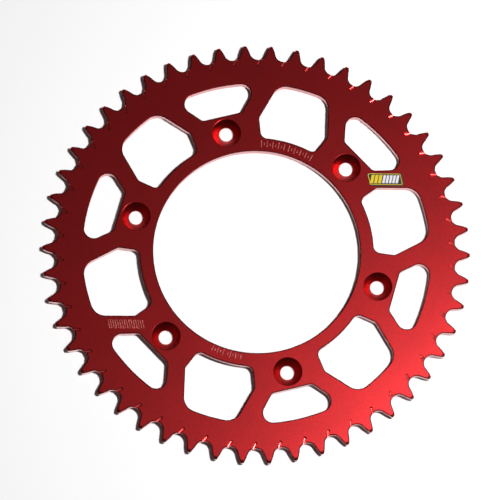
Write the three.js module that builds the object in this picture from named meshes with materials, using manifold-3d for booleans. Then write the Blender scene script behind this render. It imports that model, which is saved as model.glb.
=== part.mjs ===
// A rear sprocket for an off-road motorcycle: one machined aluminium plate and the printed decal on it.
//
// The sprocket lies flat with its hub face down. The origin is the centre of that face, and +Z points
// out of the countersunk front face. One bolt hole and the root of one tooth gap both lie on the -Y axis.

import * as THREE from "three";
import { mergeVertices } from "three/addons/utils/BufferGeometryUtils.js";
import Module from "manifold-3d";

// ---- Driving dimensions: millimetres, and degrees where the name says so ----

// The 520 chain that the sprocket is cut for.
const CHAIN_PITCH = 15.875;
const CHAIN_ROLLER_DIAMETER = 10.16;
const CHAIN_INNER_WIDTH = 6.35;

// Teeth.
const TEETH = 50;
const TOOTH_WIDTH_SHARE = 0.93; // of the chain's inner width
const ROOT_CLEARANCE = 0.05; // of the root arc round the roller
const ROOT_HALF_ANGLE = 60; // degrees of root arc on each side of the gap's centre line
const TIP_RADIUS = 130.3;
const TIP_WIDTH = 1.8;
const FLANK_BULGE = 0.15; // how far the middle of a flank stands out from its chord
const TIP_CHAMFER_LENGTH = 2; // along the radius
const TIP_CHAMFER_DEPTH = 0.8; // along the axis

// The hub's fastening.
const BORE_DIAMETER = 126;
const BOLTS = 6;
const BOLT_CIRCLE_DIAMETER = 153;
const BOLT_HOLE_DIAMETER = 8.5;
const COUNTERSINK_DIAMETER = 17.7;
const COUNTERSINK_ANGLE = 90; // degrees, across the cone

// Lightening windows. Both kinds end outwards on the same circle.
const WINDOW_OUTER_RADIUS = 105.9;
// The slim window lies outboard of each bolt: its side is a straight line between two corners.
const SLIM_INNER_X = 87.2; // its straight inner edge, at this distance from the axis
const SLIM_INNER_HALF_WIDTH = 12.4;
const SLIM_SIDE_ANGLE = 42; // degrees that a side leans out from the window's centre line
const SLIM_OUTER_CORNER = 6;
const SLIM_INNER_CORNER = 3;
// The large window lies between two bolts: each side has a knee, where the window is widest.
const LARGE_INNER_RADIUS = 71.4;
const LARGE_KNEE_X = 81.4;
const LARGE_KNEE_Y = 21.7;
const LARGE_OUTER_SIDE_ANGLE = -13.8; // degrees: outward of the knee the sides draw together
const LARGE_INNER_SIDE_ANGLE = 21.6; // degrees: inward of the knee they draw together too
const LARGE_OUTER_CORNER = 9;
const LARGE_KNEE_CORNER = 3;
const LARGE_INNER_CORNER = 4.5;

// Mud grooves: a short slot with a round end, milled into the front face at each tooth gap.
const GROOVE_WIDTH = 1.8;
const GROOVE_DEPTH = 0.75;
const GROOVE_INNER_RADIUS = 118.2; // centre of the slot's round end
const GROOVE_SLANT = 25; // degrees from the radius
const GROOVE_LENGTH = 7; // long enough to run out into the gap

// The printed decal on the spoke between two windows.
const DECAL_LENGTH = 21.4; // at half its height
const DECAL_HEIGHT = 8.2;
const DECAL_CORNER = 1.5;
const DECAL_SLANT = 12; // degrees that the ends lean
const DECAL_THICKNESS = 0.3;
const DECAL_GAP = 0.3; // the film of glue between the decal and the plate
const DECAL_RADIUS = 91.5; // of its centre
const DECAL_BEARING = 16.15; // degrees, of its centre from the +X axis
const DECAL_TURN = -14; // degrees, of its long side from the +X axis

const CHORD_ERROR = 0.06; // how far a facet may stray from a round edge
const HOLE_FACETS = 24; // of a bolt hole and of its countersink, whose facets line up

// ---- Dimensions that follow ----

const pitchRadius = CHAIN_PITCH / (2 * Math.sin(Math.PI / TEETH));
const rootArcRadius = CHAIN_ROLLER_DIAMETER / 2 + ROOT_CLEARANCE;
const plateThickness = TOOTH_WIDTH_SHARE * CHAIN_INNER_WIDTH;
const toothAngle = (2 * Math.PI) / TEETH;
const boltAngle = (2 * Math.PI) / BOLTS;
const firstBolt = -Math.PI / 2;

// ---- Materials ----

const anodised = new THREE.MeshStandardMaterial({ color: 0x8f1219, roughness: 0.38, metalness: 0.9 });
const printedFilm = new THREE.MeshStandardMaterial({ color: 0xe0c020, roughness: 0.35, metalness: 0 });

// ---- Outlines ----

const rad = THREE.MathUtils.degToRad;

function polar(radius, angle) {
  return new THREE.Vector2(radius * Math.cos(angle), radius * Math.sin(angle));
}

// Points along an arc, both ends included, as fine as CHORD_ERROR asks.
function arc(centre, radius, from, to) {
  const step = 2 * Math.acos(1 - CHORD_ERROR / radius);
  const count = Math.max(2, Math.ceil(Math.abs(to - from) / step));
  const points = [];
  for (let i = 0; i <= count; i++) {
    const angle = from + ((to - from) * i) / count;
    points.push(centre.clone().add(polar(radius, angle)));
  }
  return points;
}

function boltHole(centre) {
  const points = [];
  for (let i = 0; i < HOLE_FACETS; i++) {
    points.push(centre.clone().add(polar(BOLT_HOLE_DIAMETER / 2, (2 * Math.PI * i) / HOLE_FACETS)));
  }
  return points;
}

function turned(points, angle) {
  return points.map((p) => p.clone().rotateAround(new THREE.Vector2(), angle));
}

function mirrored(points) {
  return points.map((p) => new THREE.Vector2(p.x, -p.y)).reverse();
}

// Where the line from one point, in the unit direction "along", gets to a distance from the axis.
function meetsCircle(from, along, radius) {
  const b = from.dot(along);
  return from.clone().addScaledVector(along, -b + Math.sqrt(b * b - from.lengthSq() + radius * radius));
}

function angleOf(v) {
  return Math.atan2(v.y, v.x);
}

// One side of the outline from the centre of a tooth gap up to the middle of the next tooth's tip.
function toothHalf() {
  const rootCentre = new THREE.Vector2(pitchRadius, 0);
  const root = arc(rootCentre, rootArcRadius, Math.PI, Math.PI - rad(ROOT_HALF_ANGLE));
  const rootEnd = root[root.length - 1];
  const tip = polar(TIP_RADIUS, toothAngle / 2 - TIP_WIDTH / 2 / TIP_RADIUS);
  const chord = tip.clone().sub(rootEnd).normalize();
  const middle = rootEnd.clone().add(tip).multiplyScalar(0.5);
  middle.addScaledVector(new THREE.Vector2(chord.y, -chord.x), FLANK_BULGE);
  return [...root, middle, tip];
}

function toothedOutline() {
  const half = toothHalf();
  const gap = [...mirrored(half.slice(1)), ...half];
  const points = [];
  for (let i = 0; i < TEETH; i++) points.push(...turned(gap, firstBolt + i * toothAngle));
  return points;
}

// A round corner between the window's outer circle and a straight side.
// "side" is a point on that side, "along" its direction outwards, "inward" its normal into the window.
function outerCorner(side, along, inward, radius) {
  const shifted = side.clone().addScaledVector(inward, radius);
  const centre = meetsCircle(shifted, along, WINDOW_OUTER_RADIUS - radius);
  return arc(centre, radius, angleOf(inward.clone().negate()), angleOf(centre));
}

function slimWindow() {
  const lean = rad(SLIM_SIDE_ANGLE);
  const along = polar(1, lean);
  const inward = polar(1, lean - Math.PI / 2);
  const corner = new THREE.Vector2(SLIM_INNER_X, SLIM_INNER_HALF_WIDTH);
  // The inner corner's centre stands one radius in from both the straight inner edge and the side.
  const back = SLIM_INNER_CORNER * Math.tan((Math.PI / 2 - lean) / 2);
  const innerCentre = corner.clone().add(new THREE.Vector2(SLIM_INNER_CORNER, -back));
  const inner = arc(innerCentre, SLIM_INNER_CORNER, Math.PI, angleOf(inward.clone().negate()));
  const outer = outerCorner(corner, along, inward, SLIM_OUTER_CORNER);
  const end = angleOf(outer[outer.length - 1]);
  const half = [...inner, ...outer, ...arc(new THREE.Vector2(), WINDOW_OUTER_RADIUS, end, 0).slice(1)];
  return [...half, ...mirrored(half).slice(1)];
}

function largeWindow() {
  const knee = new THREE.Vector2(LARGE_KNEE_X, LARGE_KNEE_Y);
  const outerLean = rad(LARGE_OUTER_SIDE_ANGLE);
  const innerLean = rad(LARGE_INNER_SIDE_ANGLE);
  const outerAlong = polar(1, outerLean);
  const outerInward = polar(1, outerLean - Math.PI / 2);
  const innerAlong = polar(1, innerLean);
  const innerInward = polar(1, innerLean - Math.PI / 2);

  // The inner corner touches the inner circle from outside and the inner side from within.
  const shifted = knee.clone().addScaledVector(innerInward, LARGE_INNER_CORNER);
  const innerCentre = meetsCircle(shifted, innerAlong, LARGE_INNER_RADIUS + LARGE_INNER_CORNER);
  const inner = arc(
    innerCentre,
    LARGE_INNER_CORNER,
    angleOf(innerCentre) + Math.PI,
    angleOf(innerInward.clone().negate()),
  );

  const half = (innerLean - outerLean) / 2;
  const kneeInward = polar(1, (innerLean + outerLean) / 2 - Math.PI / 2);
  const kneeCentre = knee.clone().addScaledVector(kneeInward, LARGE_KNEE_CORNER / Math.cos(half));
  const kneeArc = arc(
    kneeCentre,
    LARGE_KNEE_CORNER,
    angleOf(innerInward.clone().negate()),
    angleOf(outerInward.clone().negate()),
  );

  const outer = outerCorner(knee, outerAlong, outerInward, LARGE_OUTER_CORNER);
  const innerEnd = angleOf(inner[0]);
  const outerEnd = angleOf(outer[outer.length - 1]);
  const axis = new THREE.Vector2();
  const halfOutline = [
    ...arc(axis, LARGE_INNER_RADIUS, 0, innerEnd).slice(0, -1),
    ...inner,
    ...kneeArc,
    ...outer,
    ...arc(axis, WINDOW_OUTER_RADIUS, outerEnd, 0).slice(1),
  ];
  return [...halfOutline, ...mirrored(halfOutline).slice(1, -1)];
}

// ---- Solids ----

const wasm = await Module();
wasm.setup();

function solid(geometry) {
  const bare = new THREE.BufferGeometry().setAttribute("position", geometry.getAttribute("position"));
  bare.setIndex(geometry.index);
  const merged = mergeVertices(bare, 1e-4);
  return new wasm.Manifold(
    new wasm.Mesh({
      numProp: 3,
      vertProperties: merged.attributes.position.array,
      triVerts: new Uint32Array(merged.index.array),
    }),
  );
}

function geometryOf(manifold) {
  const mesh = manifold.getMesh();
  const geometry = new THREE.BufferGeometry();
  geometry.setAttribute("position", new THREE.BufferAttribute(mesh.vertProperties, 3));
  geometry.setIndex(new THREE.BufferAttribute(mesh.triVerts, 1));
  geometry.computeVertexNormals();
  return geometry;
}

function extruded(outline, holes, thickness) {
  const shape = new THREE.Shape(outline);
  shape.holes = holes.map((points) => new THREE.Path(points));
  return new THREE.ExtrudeGeometry(shape, { depth: thickness, bevelEnabled: false });
}

function boltCentre(i) {
  return polar(BOLT_CIRCLE_DIAMETER / 2, firstBolt + i * boltAngle);
}

function plateBlank() {
  const slim = slimWindow();
  const large = largeWindow();
  const holes = [arc(new THREE.Vector2(), BORE_DIAMETER / 2, 0, 2 * Math.PI).slice(0, -1)];
  for (let i = 0; i < BOLTS; i++) {
    holes.push(boltHole(boltCentre(i)));
    holes.push(turned(slim, firstBolt + i * boltAngle));
    holes.push(turned(large, firstBolt + (i + 0.5) * boltAngle));
  }
  return solid(extruded(toothedOutline(), holes, plateThickness));
}

// A disc whose rims carry the chamfer of the tooth tips. The plate keeps what lies inside it.
// It has one flat per tooth, and its corners lie over the tooth gaps.
function tipEnvelope() {
  const clear = 1;
  const slope = TIP_CHAMFER_LENGTH / TIP_CHAMFER_DEPTH;
  const faceRadius = TIP_RADIUS - TIP_CHAMFER_LENGTH;
  const toCorner = 1 / Math.cos(toothAngle / 2);
  const inner = (faceRadius - clear * slope) * toCorner;
  const outer = (TIP_RADIUS + clear) * toCorner;
  const profile = [
    new THREE.Vector2(0, -clear),
    new THREE.Vector2(inner, -clear),
    new THREE.Vector2(outer, TIP_CHAMFER_DEPTH + clear / slope),
    new THREE.Vector2(outer, plateThickness - TIP_CHAMFER_DEPTH - clear / slope),
    new THREE.Vector2(inner, plateThickness + clear),
    new THREE.Vector2(0, plateThickness + clear),
  ];
  // A lathe turns about Y, so it is laid over to turn about Z. That also puts its first corner on -Y.
  return solid(new THREE.LatheGeometry(profile, TEETH).rotateX(Math.PI / 2));
}

// The cone runs past the front face, and past the bottom of the countersink into the hole.
function countersink(i) {
  const clear = 0.5;
  const slope = Math.tan(rad(COUNTERSINK_ANGLE / 2));
  const depth = (COUNTERSINK_DIAMETER - BOLT_HOLE_DIAMETER) / 2 / slope;
  const top = COUNTERSINK_DIAMETER / 2 + clear * slope;
  const bottom = BOLT_HOLE_DIAMETER / 2 - clear * slope;
  const cone = new THREE.CylinderGeometry(top, bottom, depth + 2 * clear, HOLE_FACETS);
  cone.rotateX(Math.PI / 2);
  const centre = boltCentre(i);
  cone.translate(centre.x, centre.y, plateThickness - depth / 2);
  return solid(cone);
}

// A slot with a flat bottom and a round inner end, running outwards into the tooth gap.
function groove(i) {
  const clear = 0.4;
  const outline = [
    ...arc(new THREE.Vector2(), GROOVE_WIDTH / 2, 1.5 * Math.PI, 0.5 * Math.PI),
    new THREE.Vector2(GROOVE_LENGTH, GROOVE_WIDTH / 2),
    new THREE.Vector2(GROOVE_LENGTH, -GROOVE_WIDTH / 2),
  ];
  const slot = extruded(outline.reverse(), [], GROOVE_DEPTH + clear);
  slot.rotateZ(-rad(GROOVE_SLANT));
  slot.translate(GROOVE_INNER_RADIUS, 0, plateThickness - GROOVE_DEPTH);
  slot.rotateZ(firstBolt + i * toothAngle);
  return solid(slot);
}

function sprocketPlate() {
  let plate = plateBlank().intersect(tipEnvelope());
  for (let i = 0; i < BOLTS; i++) plate = plate.subtract(countersink(i));
  for (let i = 0; i < TEETH; i++) plate = plate.subtract(groove(i));
  const mesh = new THREE.Mesh(geometryOf(plate), anodised);
  mesh.name = "sprocket_plate";
  return mesh;
}

function decal() {
  const slant = rad(DECAL_SLANT);
  const x = DECAL_LENGTH / 2 - DECAL_CORNER / Math.cos(slant);
  const y = DECAL_HEIGHT / 2 - DECAL_CORNER;
  const lean = y * Math.tan(slant);
  const outline = [
    ...arc(new THREE.Vector2(x - lean, y), DECAL_CORNER, slant, Math.PI / 2),
    ...arc(new THREE.Vector2(-x - lean, y), DECAL_CORNER, Math.PI / 2, Math.PI + slant),
    ...arc(new THREE.Vector2(-x + lean, -y), DECAL_CORNER, Math.PI + slant, 1.5 * Math.PI),
    ...arc(new THREE.Vector2(x + lean, -y), DECAL_CORNER, 1.5 * Math.PI, 2 * Math.PI + slant),
  ];
  const mesh = new THREE.Mesh(extruded(outline, [], DECAL_THICKNESS), printedFilm);
  mesh.name = "decal";
  const centre = polar(DECAL_RADIUS, rad(DECAL_BEARING));
  mesh.position.set(centre.x, centre.y, plateThickness + DECAL_GAP);
  mesh.rotation.z = rad(DECAL_TURN);
  return mesh;
}

const sprocket = new THREE.Group();
sprocket.add(sprocketPlate());
sprocket.add(decal());

export default sprocket;
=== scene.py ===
import math

import bmesh
import bpy
from mathutils import Matrix, Vector


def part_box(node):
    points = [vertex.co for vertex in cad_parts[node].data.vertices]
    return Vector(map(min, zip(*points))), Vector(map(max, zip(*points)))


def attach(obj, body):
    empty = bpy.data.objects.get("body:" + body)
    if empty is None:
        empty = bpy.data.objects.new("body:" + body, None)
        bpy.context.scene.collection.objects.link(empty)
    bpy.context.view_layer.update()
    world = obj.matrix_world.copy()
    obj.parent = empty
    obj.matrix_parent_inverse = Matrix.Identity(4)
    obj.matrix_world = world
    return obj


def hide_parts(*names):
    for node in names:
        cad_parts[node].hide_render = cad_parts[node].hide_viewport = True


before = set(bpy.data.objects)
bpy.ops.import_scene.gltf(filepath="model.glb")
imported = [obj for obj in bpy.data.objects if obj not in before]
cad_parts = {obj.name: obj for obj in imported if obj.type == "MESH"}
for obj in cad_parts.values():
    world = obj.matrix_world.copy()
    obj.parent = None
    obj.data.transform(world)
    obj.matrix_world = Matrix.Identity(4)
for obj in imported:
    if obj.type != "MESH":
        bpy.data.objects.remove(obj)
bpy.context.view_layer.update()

# ---- Sizes of the sprocket, in millimetres, with angles in degrees ----

CHAIN_PITCH = 15.875
CHAIN_ROLLER_DIAMETER = 10.16

TEETH = 50
ROOT_CLEARANCE = 0.05  # of the root arc round the chain's roller
ROOT_HALF_ANGLE = 60  # of root arc on each side of the gap's centre line
TIP_RADIUS = 130.3
TIP_WIDTH = 1.8
TIP_CORNER = 0.7  # the radius that breaks each corner of a tip
FLANK_BULGE = 0.15  # how far the middle of a flank stands out from its chord
TIP_CHAMFER_LENGTH = 2  # along the radius
TIP_CHAMFER_DEPTH = 0.8  # along the axis

BORE_DIAMETER = 126
BOLTS = 6
BOLT_CIRCLE_DIAMETER = 153
BOLT_HOLE_DIAMETER = 8.5
COUNTERSINK_DIAMETER = 17.7
COUNTERSINK_RIM = 0.15  # the flat bevel round a countersink, across
COUNTERSINK_RIM_DEPTH = 0.06

WINDOW_OUTER_RADIUS = 105.9
SLIM_INNER_X = 87.2
SLIM_INNER_HALF_WIDTH = 12.4
SLIM_SIDE_ANGLE = 42
SLIM_OUTER_CORNER = 6
SLIM_INNER_CORNER = 3
LARGE_INNER_RADIUS = 71.4
LARGE_KNEE = Vector((81.4, 21.7))
LARGE_OUTER_SIDE_ANGLE = -13.8
LARGE_INNER_SIDE_ANGLE = 21.6
LARGE_OUTER_CORNER = 9
LARGE_KNEE_CORNER = 3
LARGE_INNER_CORNER = 4.5

EDGE_CHAMFER = 0.6  # across the face, of the teeth, the windows and the bore, on both faces
EDGE_CHAMFER_DEPTH = 0.35
HOLE_CHAMFER = 0.25  # of a bolt hole, on the back face

GROOVE_CUTTER_RADIUS = 0.9
GROOVE_DEPTH = 0.95
GROOVE_INNER_RADIUS = 118.3  # the centre of a groove's round end
GROOVE_LENGTH = 8
GROOVE_SLANT = 25  # from the radius

# Engraved marks: a meander on one spoke, and rows of ticks on the ring round the bore.
MARK_CUTTER_RADIUS = 0.28
MARK_DEPTH = 0.3
MEANDER_BARS = 16
MEANDER_PITCH = 1.38
MEANDER_HEIGHT = 4.9
MEANDER_SLANT = 12  # that its bars lean
MEANDER_LINK = MEANDER_PITCH / 25  # how far the cutter travels in the short stroke between two bars
LONG_TICK = 3.6
SHORT_TICK = 1.44
# Each row of ticks: its middle radius, the bearings of its ends, and how many ticks it has.
TICK_ROWS = ((67.7, 46.5, 59, 9), (67.7, 61.5, 73.5, 9), (66, -112.5, -119.5, 6), (66, -122, -128, 5))

# The ball-nosed cutter that mills the grooves and the marks.
CUTTER_FLARE = 75  # the slope at which its ball gives way to a straight flare
CUTTER_STEPS = 7  # facets from the bottom of the ball to there
CUTTER_TURNS = 16  # facets round each end of a slot
CUTTER_CLEAR = 0.3  # how far it stands out of the face

# The printed decal, opposite the meander: a film with a border and slanted bars printed on it.
DECAL_LENGTH = 21.4  # at half its height
DECAL_HEIGHT = 8.2
DECAL_CORNER = 1.5
DECAL_SLANT = 12  # that its ends lean
DECAL_TURN = -14  # of its long sides, and the meander's, from +X
DECAL_THICKNESS = 0.15
GLUE_THICKNESS = 0.01
INK_THICKNESS = 0.012
PRINT_CENTRE = Vector((-0.35, 0.2))  # the print isn't quite in the middle of the film
BORDER_INSET = 0.6
BORDER_WIDTH = 0.35
BAR_SLANT = -12
# Each group of bars: where it starts from the print's centre, the bars, their width, gap and height.
YELLOW_BARS = (-8.8, 3, 1.9, 0.5, 5.3)
WHITE_BARS = (-1.4, 5, 1.5, 0.55, 5)

# Places in the lists of materials that sprocket() and decal() make. The rest of the plate has the first.
GROOVE_FINISH = 1
MARK_FINISH = 2
FILM, YELLOW, WHITE = range(3)

CHORD_ERROR = 0.004  # how far a facet may stray from a round edge
SMOOTH_ANGLE = 15  # between faces, over which an edge is drawn sharp
HEIGHT_TOLERANCE = 0.001  # how near to a face's height an edge on its border lies

# ---- What follows from them ----

MM = 0.001
plate_low, plate_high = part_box("sprocket_plate")
THICKNESS = (plate_high.z - plate_low.z) / MM
PITCH_RADIUS = CHAIN_PITCH / (2 * math.sin(math.pi / TEETH))
ROOT_RADIUS = CHAIN_ROLLER_DIAMETER / 2 + ROOT_CLEARANCE
TOOTH_ANGLE = 2 * math.pi / TEETH
BOLT_ANGLE = 2 * math.pi / BOLTS
FIRST_BOLT = -math.pi / 2  # a bolt hole and the root of a tooth gap lie on -Y
CENTRE = Vector((0, 0))

decal_low, decal_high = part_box("decal")
DECAL_CENTRE = Vector(((decal_low.x + decal_high.x) / 2, (decal_low.y + decal_high.y) / 2)) / MM
LEVEL = math.radians(DECAL_TURN)


# ---- Plane geometry ----

def polar(radius, angle):
    return Vector((radius * math.cos(angle), radius * math.sin(angle)))


def angle_of(v):
    return math.atan2(v.y, v.x)


def left_of(v):
    return Vector((-v.y, v.x))


def turned(points, angle):
    c, s = math.cos(angle), math.sin(angle)
    return [Vector((p.x * c - p.y * s, p.x * s + p.y * c)) for p in points]


def mirrored(points):
    return [Vector((p.x, -p.y)) for p in reversed(points)]


def arc(centre, radius, start, end):
    """Points along an arc, both ends included, as fine as CHORD_ERROR asks."""
    step = 2 * math.acos(1 - CHORD_ERROR / radius)
    count = max(2, math.ceil(abs(end - start) / step))
    return [centre + polar(radius, start + (end - start) * i / count) for i in range(count + 1)]


def meets_circle(start, along, radius):
    """Where the line from start, in the unit direction along, gets to that distance from the centre."""
    b = start.dot(along)
    return start + along * (math.sqrt(b * b - start.length_squared + radius * radius) - b)


def circles_meet(a, a_radius, b, b_radius):
    """The crossing of two circles that lies to the left of the way from a to b."""
    across = (b - a).normalized()
    distance = (b - a).length
    x = (distance ** 2 + a_radius ** 2 - b_radius ** 2) / (2 * distance)
    return a + across * x + left_of(across) * math.sqrt(a_radius ** 2 - x ** 2)


def cut_back(loop, cut):
    """The closed loop moved to its left, point by point."""
    moved = []
    for i, p in enumerate(loop):
        before = (p - loop[i - 1]).normalized()
        after = (loop[(i + 1) % len(loop)] - p).normalized()
        moved.append(p + left_of(before + after) * (cut / (1 + before.dot(after))))
    return moved


# ---- Outlines: each runs with the metal on its left ----

def tooth_gap():
    """From the middle of one tooth's tip, round the gap on +X, to just before the next tip's middle."""
    root_centre = Vector((PITCH_RADIUS, 0))
    root = arc(root_centre, ROOT_RADIUS, math.pi, math.pi - math.radians(ROOT_HALF_ANGLE))
    tip = polar(TIP_RADIUS, TOOTH_ANGLE / 2 - TIP_WIDTH / 2 / TIP_RADIUS)
    chord = tip - root[-1]
    flank_radius = (chord.length_squared / 4 + FLANK_BULGE ** 2) / (2 * FLANK_BULGE)
    bulge = -left_of(chord.normalized())
    flank_centre = (root[-1] + tip) / 2 + bulge * (FLANK_BULGE - flank_radius)
    corner_centre = circles_meet(
        flank_centre, flank_radius - TIP_CORNER, CENTRE, TIP_RADIUS - TIP_CORNER)
    flank_end = angle_of(corner_centre - flank_centre)
    tip_start = angle_of(corner_centre)
    half = (
        root
        + arc(flank_centre, flank_radius, angle_of(root[-1] - flank_centre), flank_end)[1:]
        + arc(corner_centre, TIP_CORNER, flank_end, tip_start)[1:]
        + arc(CENTRE, TIP_RADIUS, tip_start, TOOTH_ANGLE / 2)[1:]
    )
    return mirrored(half)[:-1] + half[:-1]


def outer_corner(side, along, inward, radius):
    """The round corner between a window's straight side and the circle that the windows end on."""
    centre = meets_circle(side + inward * radius, along, WINDOW_OUTER_RADIUS - radius)
    return arc(centre, radius, angle_of(-inward), angle_of(centre))


def slim_window():
    """The window outboard of a bolt hole, centred on +X."""
    lean = math.radians(SLIM_SIDE_ANGLE)
    along = polar(1, lean)
    inward = polar(1, lean - math.pi / 2)
    corner = Vector((SLIM_INNER_X, SLIM_INNER_HALF_WIDTH))
    back = SLIM_INNER_CORNER * math.tan((math.pi / 2 - lean) / 2)
    inner_centre = corner + Vector((SLIM_INNER_CORNER, -back))
    outer = outer_corner(corner, along, inward, SLIM_OUTER_CORNER)
    half = (
        arc(inner_centre, SLIM_INNER_CORNER, math.pi, angle_of(-inward))
        + outer
        + arc(CENTRE, WINDOW_OUTER_RADIUS, angle_of(outer[-1]), 0)[1:]
    )
    return half + mirrored(half)[1:]


def large_window():
    """The window between two bolt holes, centred on +X and widest at its two knees."""
    inner_lean = math.radians(LARGE_INNER_SIDE_ANGLE)
    outer_lean = math.radians(LARGE_OUTER_SIDE_ANGLE)
    inner_along = polar(1, inner_lean)
    inner_inward = polar(1, inner_lean - math.pi / 2)
    outer_along = polar(1, outer_lean)
    outer_inward = polar(1, outer_lean - math.pi / 2)

    shifted = LARGE_KNEE + inner_inward * LARGE_INNER_CORNER
    inner_centre = meets_circle(shifted, inner_along, LARGE_INNER_RADIUS + LARGE_INNER_CORNER)
    inner = arc(
        inner_centre, LARGE_INNER_CORNER, angle_of(inner_centre) + math.pi, angle_of(-inner_inward))

    to_knee = polar(1, (inner_lean + outer_lean) / 2 - math.pi / 2)
    knee_distance = LARGE_KNEE_CORNER / math.cos((inner_lean - outer_lean) / 2)
    knee = arc(
        LARGE_KNEE + to_knee * knee_distance, LARGE_KNEE_CORNER,
        angle_of(-inner_inward), angle_of(-outer_inward))

    outer = outer_corner(LARGE_KNEE, outer_along, outer_inward, LARGE_OUTER_CORNER)
    half = (
        arc(CENTRE, LARGE_INNER_RADIUS, 0, angle_of(inner[0]))[:-1]
        + inner
        + knee
        + outer
        + arc(CENTRE, WINDOW_OUTER_RADIUS, angle_of(outer[-1]), 0)[1:]
    )
    return half + mirrored(half)[1:-1]


# ---- Meshes, in millimetres until they are finished ----

def ring(bm, loop, heights):
    return [bm.verts.new((p.x, p.y, z)) for p, z in zip(loop, heights)]


def flat_ring(bm, loop, z):
    return ring(bm, loop, [z] * len(loop))


def skin(bm, rings):
    """Faces between each ring and the next."""
    for upper, lower in zip(rings, rings[1:]):
        for i in range(len(upper)):
            bm.faces.new((upper[i - 1], upper[i], lower[i], lower[i - 1]))


def paint(bm, first, material):
    """Gives the faces from that number on their place in the list of materials."""
    bm.faces.ensure_lookup_table()
    for face in bm.faces[first:]:
        face.material_index = material


def chamfered_wall(bm, loop, tip_drop=lambda p: 0):
    """One edge of the plate, from face to face. Returns the rings that border the two faces."""
    face = cut_back(loop, EDGE_CHAMFER)
    face_drops = [tip_drop(p) for p in face]
    wall_drops = [EDGE_CHAMFER_DEPTH + tip_drop(p) for p in loop]
    rings = [
        ring(bm, face, [THICKNESS - d for d in face_drops]),
        ring(bm, loop, [THICKNESS - d for d in wall_drops]),
        ring(bm, loop, wall_drops),
        ring(bm, face, face_drops),
    ]
    skin(bm, rings)
    return rings[0], rings[-1]


def toothed_edge(bm):
    """The outer edge, with a flat chamfer on both faces of each tip."""
    gap = tooth_gap()
    loop = []
    for i in range(TEETH):
        loop += turned(gap, FIRST_BOLT + i * TOOTH_ANGLE)

    # A tip's chamfer starts at the point of the faces' edge that is nearest to its nominal start.
    near_tip = turned(cut_back(loop, EDGE_CHAMFER)[:len(gap) // 2], TOOTH_ANGLE / 2 - FIRST_BOLT)
    start = TIP_RADIUS - TIP_CHAMFER_LENGTH
    reach = min(range(len(near_tip)), key=lambda i: abs(near_tip[i].x - start))
    start = near_tip[reach].x
    slope = TIP_CHAMFER_DEPTH / TIP_CHAMFER_LENGTH

    def tip_drop(p):
        from_root = (angle_of(p) - FIRST_BOLT) % TOOTH_ANGLE
        along_tooth = p.length * math.cos(from_root - TOOTH_ANGLE / 2)
        return max(0, along_tooth - start) * slope

    for edge in chamfered_wall(bm, loop, tip_drop):
        for i in range(TEETH):
            bm.faces.new([edge[(i * len(gap) + j) % len(edge)] for j in range(-reach, reach + 1)])


def bolt_hole(bm, centre):
    """A hole with its countersink in the front face and a small chamfer at the back."""
    rim = COUNTERSINK_DIAMETER / 2
    hole = BOLT_HOLE_DIAMETER / 2
    cone_top = rim - COUNTERSINK_RIM
    cone_height = THICKNESS - COUNTERSINK_RIM_DEPTH
    profile = [
        (rim, THICKNESS),
        (cone_top, cone_height),
        (hole, cone_height - (cone_top - hole)),
        (hole, HOLE_CHAMFER),
        (hole + HOLE_CHAMFER, 0),
    ]
    unit = arc(CENTRE, rim, 0, 2 * math.pi)[:-1]
    rings = []
    for radius, z in profile:
        rings.append(flat_ring(bm, [centre + p * (radius / rim) for p in unit], z))
    skin(bm, rings)


def fill_face(bm, z):
    """Closes the plate's face at that height: its border is the open edges that lie there."""
    border = [
        e for e in bm.edges
        if e.is_boundary and all(abs(v.co.z - z) < HEIGHT_TOLERANCE for v in e.verts)
    ]
    bmesh.ops.triangle_fill(bm, edges=border, use_beauty=True, normal=(0, 0, 1))


def plate_blank():
    bm = bmesh.new()
    toothed_edge(bm)
    chamfered_wall(bm, arc(CENTRE, BORE_DIAMETER / 2, 2 * math.pi, 0)[:-1])
    slim = slim_window()
    large = large_window()
    for i in range(BOLTS):
        bolt_angle = FIRST_BOLT + i * BOLT_ANGLE
        bolt_hole(bm, polar(BOLT_CIRCLE_DIAMETER / 2, bolt_angle))
        chamfered_wall(bm, turned(slim, bolt_angle))
        chamfered_wall(bm, turned(large, bolt_angle + BOLT_ANGLE / 2))
    fill_face(bm, THICKNESS)
    fill_face(bm, 0)
    bmesh.ops.recalc_face_normals(bm, faces=bm.faces)
    return bm


def milled_slot(bm, start, end, radius, depth, finish):
    """The space that a ball-nosed cutter clears between two points, flared a little at the face."""
    bed = THICKNESS - depth
    flare = math.radians(CUTTER_FLARE)
    profile = []
    for i in range(1, CUTTER_STEPS + 1):
        slope = flare * i / CUTTER_STEPS
        profile.append((radius * math.sin(slope), bed + radius * (1 - math.cos(slope))))
    flare_foot, flare_z = profile[-1]
    top = THICKNESS + CUTTER_CLEAR
    profile.append((flare_foot + (top - flare_z) / math.tan(flare), top))

    heading = angle_of(end - start)
    rows = []
    for centre, first in ((start, heading + math.pi / 2), (end, heading - math.pi / 2)):
        bottom = bm.verts.new((*centre, bed))
        for i in range(CUTTER_TURNS + 1):
            out = polar(1, first + math.pi * i / CUTTER_TURNS)
            rows.append([bottom] + [bm.verts.new((*(centre + out * reach), z)) for reach, z in profile])
    for row, following in zip(rows, rows[1:] + rows[:1]):
        for i in range(len(profile)):
            corners = (row[i], row[i + 1], following[i + 1], following[i])
            bm.faces.new(dict.fromkeys(corners)).material_index = finish
    bm.faces.new([row[-1] for row in rows])


def mud_grooves(bm):
    slant = math.radians(GROOVE_SLANT)
    start = Vector((GROOVE_INNER_RADIUS, 0))
    end = start + polar(GROOVE_LENGTH, -slant)
    for i in range(TEETH):
        a, b = turned([start, end], FIRST_BOLT + i * TOOTH_ANGLE)
        milled_slot(bm, a, b, GROOVE_CUTTER_RADIUS, GROOVE_DEPTH, GROOVE_FINISH)


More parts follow.
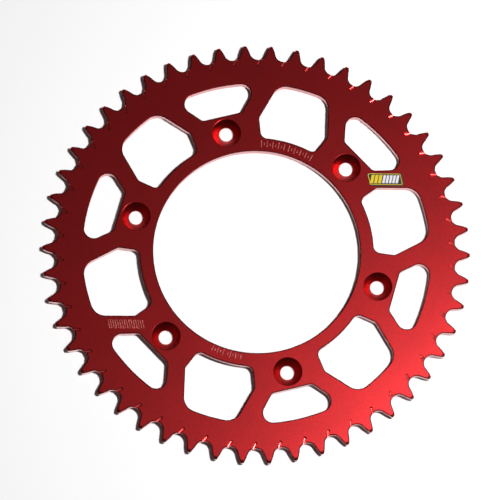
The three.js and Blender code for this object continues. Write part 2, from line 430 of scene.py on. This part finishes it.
def meander(bm):
    """Slanted bars opposite the decal, with a short stroke between each two, by turns at either end."""
    lean = math.tan(math.radians(MEANDER_SLANT))
    half = MEANDER_HEIGHT / 2

    def stroke(*ends):
        leaned = [Vector((x - y * lean, y)) for x, y in ends]
        a, b = [p - DECAL_CENTRE for p in turned(leaned, LEVEL)]
        milled_slot(bm, a, b, MARK_CUTTER_RADIUS, MARK_DEPTH, MARK_FINISH)

    for i in range(MEANDER_BARS):
        x = (i - (MEANDER_BARS - 1) / 2) * MEANDER_PITCH
        stroke((x, -half), (x, half))
        if i < MEANDER_BARS - 1:
            middle = x + MEANDER_PITCH / 2
            y = half if i % 2 else -half
            stroke((middle - MEANDER_LINK / 2, y), (middle + MEANDER_LINK / 2, y))


def tick_row(bm, radius, start, end, count):
    """Radial ticks, every other one short."""
    for i in range(count):
        bearing = math.radians(start + (end - start) * i / (count - 1))
        half = (SHORT_TICK if i % 2 else LONG_TICK) / 2
        inner = polar(radius - half, bearing)
        outer = polar(radius + half, bearing)
        milled_slot(bm, inner, outer, MARK_CUTTER_RADIUS, MARK_DEPTH, MARK_FINISH)


def slab(bm, outline, low, high, material):
    """A flat-topped prism over a convex outline."""
    first = len(bm.faces)
    foot = flat_ring(bm, outline, low)
    top = flat_ring(bm, outline, high)
    skin(bm, [foot, top])
    bm.faces.new(top)
    bm.faces.new(foot)
    paint(bm, first, material)


def frame_strip(bm, outer, inner, low, high, material):
    """A flat strip between two loops."""
    first = len(bm.faces)
    corners = ((outer, low), (outer, high), (inner, high), (inner, low))
    rings = [flat_ring(bm, loop, z) for loop, z in corners]
    skin(bm, rings + rings[:1])
    paint(bm, first, material)


def decal_outline():
    slant = math.radians(DECAL_SLANT)
    x = DECAL_LENGTH / 2 - DECAL_CORNER / math.cos(slant)
    y = DECAL_HEIGHT / 2 - DECAL_CORNER
    lean = y * math.tan(slant)
    right = (
        arc(Vector((x + lean, -y)), DECAL_CORNER, -math.pi / 2, slant)
        + arc(Vector((x - lean, y)), DECAL_CORNER, slant, math.pi / 2)
    )
    return right + turned(right, math.pi)


def bars(bm, start, count, width, gap, height, low, high, material):
    half = height / 2
    foot = Vector((half * math.tan(math.radians(BAR_SLANT)), -half))
    for i in range(count):
        left = PRINT_CENTRE + Vector((start + i * (width + gap), 0))
        right = left + Vector((width, 0))
        slab(bm, [left + foot, right + foot, right - foot, left - foot], low, high, material)


def decal():
    materials = (
        ink("black_film", *FILM_BLACK),
        ink("yellow_ink", *INK_YELLOW),
        ink("white_ink", *INK_WHITE),
    )
    bm = bmesh.new()
    film_top = THICKNESS + DECAL_THICKNESS
    ink_top = film_top + INK_THICKNESS
    outline = decal_outline()
    slab(bm, outline, THICKNESS + GLUE_THICKNESS, film_top, FILM)
    border = [p + PRINT_CENTRE for p in cut_back(outline, BORDER_INSET)]
    frame_strip(bm, border, cut_back(border, BORDER_WIDTH), film_top, ink_top, YELLOW)
    bars(bm, *YELLOW_BARS, film_top, ink_top, YELLOW)
    bars(bm, *WHITE_BARS, film_top, ink_top, WHITE)
    place = Matrix.Translation((*DECAL_CENTRE, 0)) @ Matrix.Rotation(LEVEL, 4, "Z")
    bmesh.ops.transform(bm, matrix=place, verts=bm.verts)
    return finished("printed_decal", bm, materials)


def new_object(name, bm, materials):
    mesh = bpy.data.meshes.new(name)
    bm.to_mesh(mesh)
    bm.free()
    for material in materials:
        mesh.materials.append(material)
    made = bpy.data.objects.new(name, mesh)
    bpy.context.scene.collection.objects.link(made)
    return made


def finished(name, bm, materials):
    """The mesh as an object in metres, smooth but for its sharp edges."""
    bmesh.ops.recalc_face_normals(bm, faces=bm.faces)
    for face in bm.faces:
        face.smooth = True
    for edge in bm.edges:
        edge.smooth = edge.calc_face_angle(math.pi) < math.radians(SMOOTH_ANGLE)
    bmesh.ops.scale(bm, vec=(MM, MM, MM), verts=bm.verts)
    return new_object(name, bm, materials)


def subtracted(blank_bm, cutter_bm, materials):
    """The first mesh less the second. The cut faces keep the cutter's materials."""
    bmesh.ops.recalc_face_normals(cutter_bm, faces=cutter_bm.faces)
    blank = new_object("blank", blank_bm, materials)
    cutter = new_object("cutter", cutter_bm, materials)
    cut = blank.modifiers.new("cut", "BOOLEAN")
    cut.operation = "DIFFERENCE"
    cut.solver = "EXACT"
    cut.object = cutter
    evaluated = blank.evaluated_get(bpy.context.evaluated_depsgraph_get())
    result = bmesh.new()
    result.from_mesh(evaluated.to_mesh())
    evaluated.to_mesh_clear()
    bpy.data.objects.remove(blank)
    bpy.data.objects.remove(cutter)
    return result


def sprocket():
    materials = (anodised_aluminium(), milled_groove(), engraved_mark())
    cutters = bmesh.new()
    mud_grooves(cutters)
    meander(cutters)
    for row in TICK_ROWS:
        tick_row(cutters, *row)
    return finished("sprocket", subtracted(plate_blank(), cutters, materials), materials)


# ---- Camera: angles in degrees, lengths in millimetres ----

CAMERA_AZIMUTH = -27.82
CAMERA_ELEVATION = 76.6
CAMERA_ROLL = 14.107
CAMERA_DISTANCE = 1886.8
CAMERA_LENS = 223.47
CAMERA_AIM = Vector((-3.93, 1.71, THICKNESS))


def camera():
    azimuth = math.radians(CAMERA_AZIMUTH)
    elevation = math.radians(CAMERA_ELEVATION)
    roll = math.radians(CAMERA_ROLL)
    back = Vector((
        math.cos(elevation) * math.sin(azimuth),
        -math.cos(elevation) * math.cos(azimuth),
        math.sin(elevation),
    ))
    level_right = Vector((0, 0, 1)).cross(back).normalized()
    level_up = back.cross(level_right)
    right = level_right * math.cos(roll) + level_up * math.sin(roll)
    place = Matrix((right, back.cross(right), back)).transposed().to_4x4()
    place.translation = (CAMERA_AIM + back * CAMERA_DISTANCE) * MM
    data = bpy.data.cameras.new("camera")
    data.lens = CAMERA_LENS
    made = bpy.data.objects.new("camera", data)
    made.matrix_world = place
    bpy.context.scene.collection.objects.link(made)
    bpy.context.scene.camera = made


# ---- Studio: lengths in millimetres, powers in watts ----

FLOOR_REACH = 3000  # from its middle to each side
FLOOR_WHITE = 0.9
FLOOR_ROUGHNESS = 0.9

LAMP_HEIGHT = 1000
LAMP_SIZE = 110
FLOOR_LAMP = Vector((250, -90))  # lights the floor and the inks, and doesn't show in reflections
FLOOR_POWER = 12.5
GLOSS_LAMP = Vector((359, -214))  # only shows in reflections
GLOSS_POWER = 15.5

# The sky's strength at the horizon and overhead, and the sines of elevation between which it changes.
HORIZON = 0.02
ZENITH = 0.13
FADE_START = 0.7
FADE_END = 0.95


def lamp(name, place, power):
    data = bpy.data.lights.new(name, "AREA")
    data.shape = "DISK"
    data.size = LAMP_SIZE * MM
    data.energy = power
    made = bpy.data.objects.new(name, data)
    made.location = Vector((place.x, place.y, LAMP_HEIGHT)) * MM
    made.rotation_euler = made.location.to_track_quat("Z", "Y").to_euler()
    bpy.context.scene.collection.objects.link(made)
    return made


def floor():
    white = Surface("floor", [FLOOR_WHITE] * 3, FLOOR_ROUGHNESS).material
    bm = bmesh.new()
    bmesh.ops.create_grid(bm, x_segments=1, y_segments=1, size=FLOOR_REACH * MM)
    new_object("floor", bm, [white])


def sky():
    world = bpy.data.worlds.new("studio")
    world.use_nodes = True
    nodes = world.node_tree.nodes
    links = world.node_tree.links
    direction = nodes.new("ShaderNodeSeparateXYZ")
    fade = nodes.new("ShaderNodeMapRange")
    fade.interpolation_type = "SMOOTHSTEP"
    fade.inputs["From Min"].default_value = FADE_START
    fade.inputs["From Max"].default_value = FADE_END
    fade.inputs["To Min"].default_value = HORIZON
    fade.inputs["To Max"].default_value = ZENITH
    links.new(nodes.new("ShaderNodeTexCoord").outputs["Generated"], direction.inputs["Vector"])
    links.new(direction.outputs["Z"], fade.inputs["Value"])
    links.new(fade.outputs["Result"], nodes["Background"].inputs["Strength"])
    nodes["Background"].inputs["Color"].default_value = (1, 1, 1, 1)
    bpy.context.scene.world = world


def studio():
    floor()
    lamp("floor_light", FLOOR_LAMP, FLOOR_POWER).visible_glossy = False
    lamp("gloss_light", GLOSS_LAMP, GLOSS_POWER).visible_diffuse = False
    sky()
    bpy.context.scene.view_settings.view_transform = "Standard"


# ---- Materials: grain in millimetres, relief in microns ----

NOISE_LOW, NOISE_HIGH = 0.3, 0.7  # most of a noise's values lie between these
MIX_A, MIX_B, MIX_RESULT = 6, 7, 2  # the colour sockets of a Mix node


class Surface:
    """A material under construction: a Principled shader and the nodes that feed it."""

    def __init__(self, name, colour, roughness, **settings):
        self.material = bpy.data.materials.new(name)
        self.material.use_nodes = True
        self.tree = self.material.node_tree
        self.shader = self.tree.nodes["Principled BSDF"]
        self.set("Base Color", (*colour, 1))
        self.set("Roughness", roughness)
        for key, value in settings.items():
            self.set(key.replace("_", " "), value)
        self.place = self.tree.nodes.new("ShaderNodeTexCoord").outputs["Object"]

    def set(self, socket, value):
        """Gives one of the shader's sockets a constant, or links it to another node's output."""
        self.feed(self.shader.inputs[socket], value)

    def node(self, kind, **inputs):
        made = self.tree.nodes.new("ShaderNode" + kind)
        for key, value in inputs.items():
            self.feed(made.inputs[key.replace("_", " ")], value)
        return made

    def feed(self, socket, value):
        if isinstance(value, bpy.types.NodeSocket):
            self.tree.links.new(value, socket)
        else:
            socket.default_value = value

    def scaled(self, factors):
        """Object coordinates, multiplied along each axis."""
        made = self.node("VectorMath", Vector=self.place)
        made.operation = "MULTIPLY"
        made.inputs[1].default_value = factors
        return made.outputs["Vector"]

    def noise(self, grain, detail, length=1):
        """Noise with a grain that many millimetres across, and length times longer along the faces."""
        scale = 1 / (grain * MM)
        place = self.scaled((scale / length, scale / length, scale))
        return self.node("TexNoise", Vector=place, Scale=1, Detail=detail).outputs["Fac"]

    def ranged(self, value, low, high, start=NOISE_LOW, end=NOISE_HIGH):
        """Low where the value is at start, high where it is at end."""
        made = self.node("MapRange", Value=value)
        made.inputs["From Min"].default_value = start
        made.inputs["From Max"].default_value = end
        made.inputs["To Min"].default_value = low
        made.inputs["To Max"].default_value = high
        return made.outputs["Result"]

    def times(self, a, b):
        made = self.tree.nodes.new("ShaderNodeMath")
        made.operation = "MULTIPLY"
        self.feed(made.inputs[0], a)
        self.feed(made.inputs[1], b)
        return made.outputs["Value"]

    def colours(self, value, dark, light):
        """A colour between two, by a value from 0 to 1."""
        made = self.node("Mix")
        made.data_type = "RGBA"
        self.feed(made.inputs["Factor"], value)
        self.feed(made.inputs[MIX_A], (*dark, 1))
        self.feed(made.inputs[MIX_B], (*light, 1))
        self.set("Base Color", made.outputs[MIX_RESULT])

    def bump(self, height, microns, under=None):
        """Relief, on top of the relief under it if there is one."""
        made = self.node("Bump", Height=height, Distance=microns * 1e-6, Strength=1)
        if under is not None:
            self.feed(made.inputs["Normal"], under)
        self.set("Normal", made.outputs["Normal"])
        return made.outputs["Normal"]


def turned_up(surface):
    """The square of the normal's upward part: 1 on the flat faces, 0.5 in a countersink, 0 on a wall."""
    normal = surface.node("NewGeometry").outputs["Normal"]
    up = surface.node("SeparateXYZ", Vector=normal).outputs["Z"]
    return surface.times(up, up)


BASE_RED = (0.45, 0.003, 0.006)
GROOVE_RED = (0.6, 0.06, 0.058)
MARK_DARK = (0.2, 0.01, 0.012)
# The light end of an engraved mark: metal with the dye burned away, and also a painted glint.
MARK_BARE_AND_GLINT = (0.82, 0.22, 0.19)
DYE_SPREAD = 0.06  # how much lighter and darker the dye gets, as a share
BASE_ROUGHNESS = 0.25
ROUGHNESS_SPREAD = 0.02
COAT_WEIGHT = 0.4  # except on the walls, which have a full coat
COAT_ROUGHNESS = 0.25
COAT_IOR = 1.6
MARK_ROUGHNESS = 0.5
MARK_NOISE = (0.42, 0.68)  # over which an engraved mark goes from dark to light
# Of turned_up: what lies between a wall and a countersink, and between a countersink and a flat face.
WALL_TO_CONE = (0.1, 0.4)
CONE_TO_FACE = (0.6, 0.9)

# Each ink of the decal, at its darkest and at its lightest.
FILM_BLACK = ((0.008, 0.008, 0.009), (0.014, 0.014, 0.015))
INK_YELLOW = ((0.58, 0.42, 0.006), (0.66, 0.48, 0.008))
INK_WHITE = ((0.6, 0.58, 0.62), (0.68, 0.66, 0.7))
INK_ROUGHNESS = 0.5
INK_SPECULAR = 0.25


def anodised(name, red):
    """Dyed oxide over etched metal, with the cutter's lines left on the walls and in the cones."""
    surface = Surface(
        name, red, BASE_ROUGHNESS, Metallic=1, Coat_Roughness=COAT_ROUGHNESS, Coat_IOR=COAT_IOR)
    dye = surface.ranged(surface.noise(grain=18, detail=4), 0, 1)
    surface.colours(dye, [c * (1 - DYE_SPREAD) for c in red], [c * (1 + DYE_SPREAD) for c in red])
    surface.set("Roughness", surface.ranged(
        surface.noise(grain=1.2, detail=5),
        BASE_ROUGHNESS - ROUGHNESS_SPREAD,
        BASE_ROUGHNESS + ROUGHNESS_SPREAD,
    ))
    level = turned_up(surface)
    surface.set("Coat Weight", surface.ranged(level, 1, COAT_WEIGHT, *WALL_TO_CONE))
    etched = surface.bump(surface.noise(grain=0.25, detail=3), microns=2.5)
    lines = surface.noise(grain=0.3, detail=2, length=50)
    milled = surface.times(lines, surface.ranged(level, 1, 0, *CONE_TO_FACE))
    surface.bump(milled, microns=6, under=etched)
    return surface.material


def anodised_aluminium():
    return anodised("anodised_aluminium", BASE_RED)


def milled_groove():
    return anodised("milled_groove", GROOVE_RED)


def engraved_mark():
    """Where the engraver has burned the dye away, leaving lighter metal; the light spots scattered
    through it are painted glints.
    """
    surface = Surface("engraved_mark", MARK_BARE_AND_GLINT, MARK_ROUGHNESS)
    # Painted glints: the noise scatters spots of the light colour along the marks.
    burn_and_glint = surface.ranged(surface.noise(grain=0.8, detail=2), 0, 1, *MARK_NOISE)
    surface.colours(burn_and_glint, MARK_DARK, MARK_BARE_AND_GLINT)
    surface.bump(surface.noise(grain=0.3, detail=3), microns=8)
    return surface.material


def ink(name, dark, light):
    """Printed film or ink, slightly mottled."""
    surface = Surface(name, light, INK_ROUGHNESS, Specular_IOR_Level=INK_SPECULAR)
    surface.colours(surface.ranged(surface.noise(grain=0.35, detail=3), 0, 1), dark, light)
    surface.bump(surface.noise(grain=0.8, detail=3), microns=3)
    return surface.material


camera()
studio()

plate = sprocket()
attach(plate, "root")
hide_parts("sprocket_plate")

sticker = decal()
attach(sticker, "root")
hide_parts("decal")
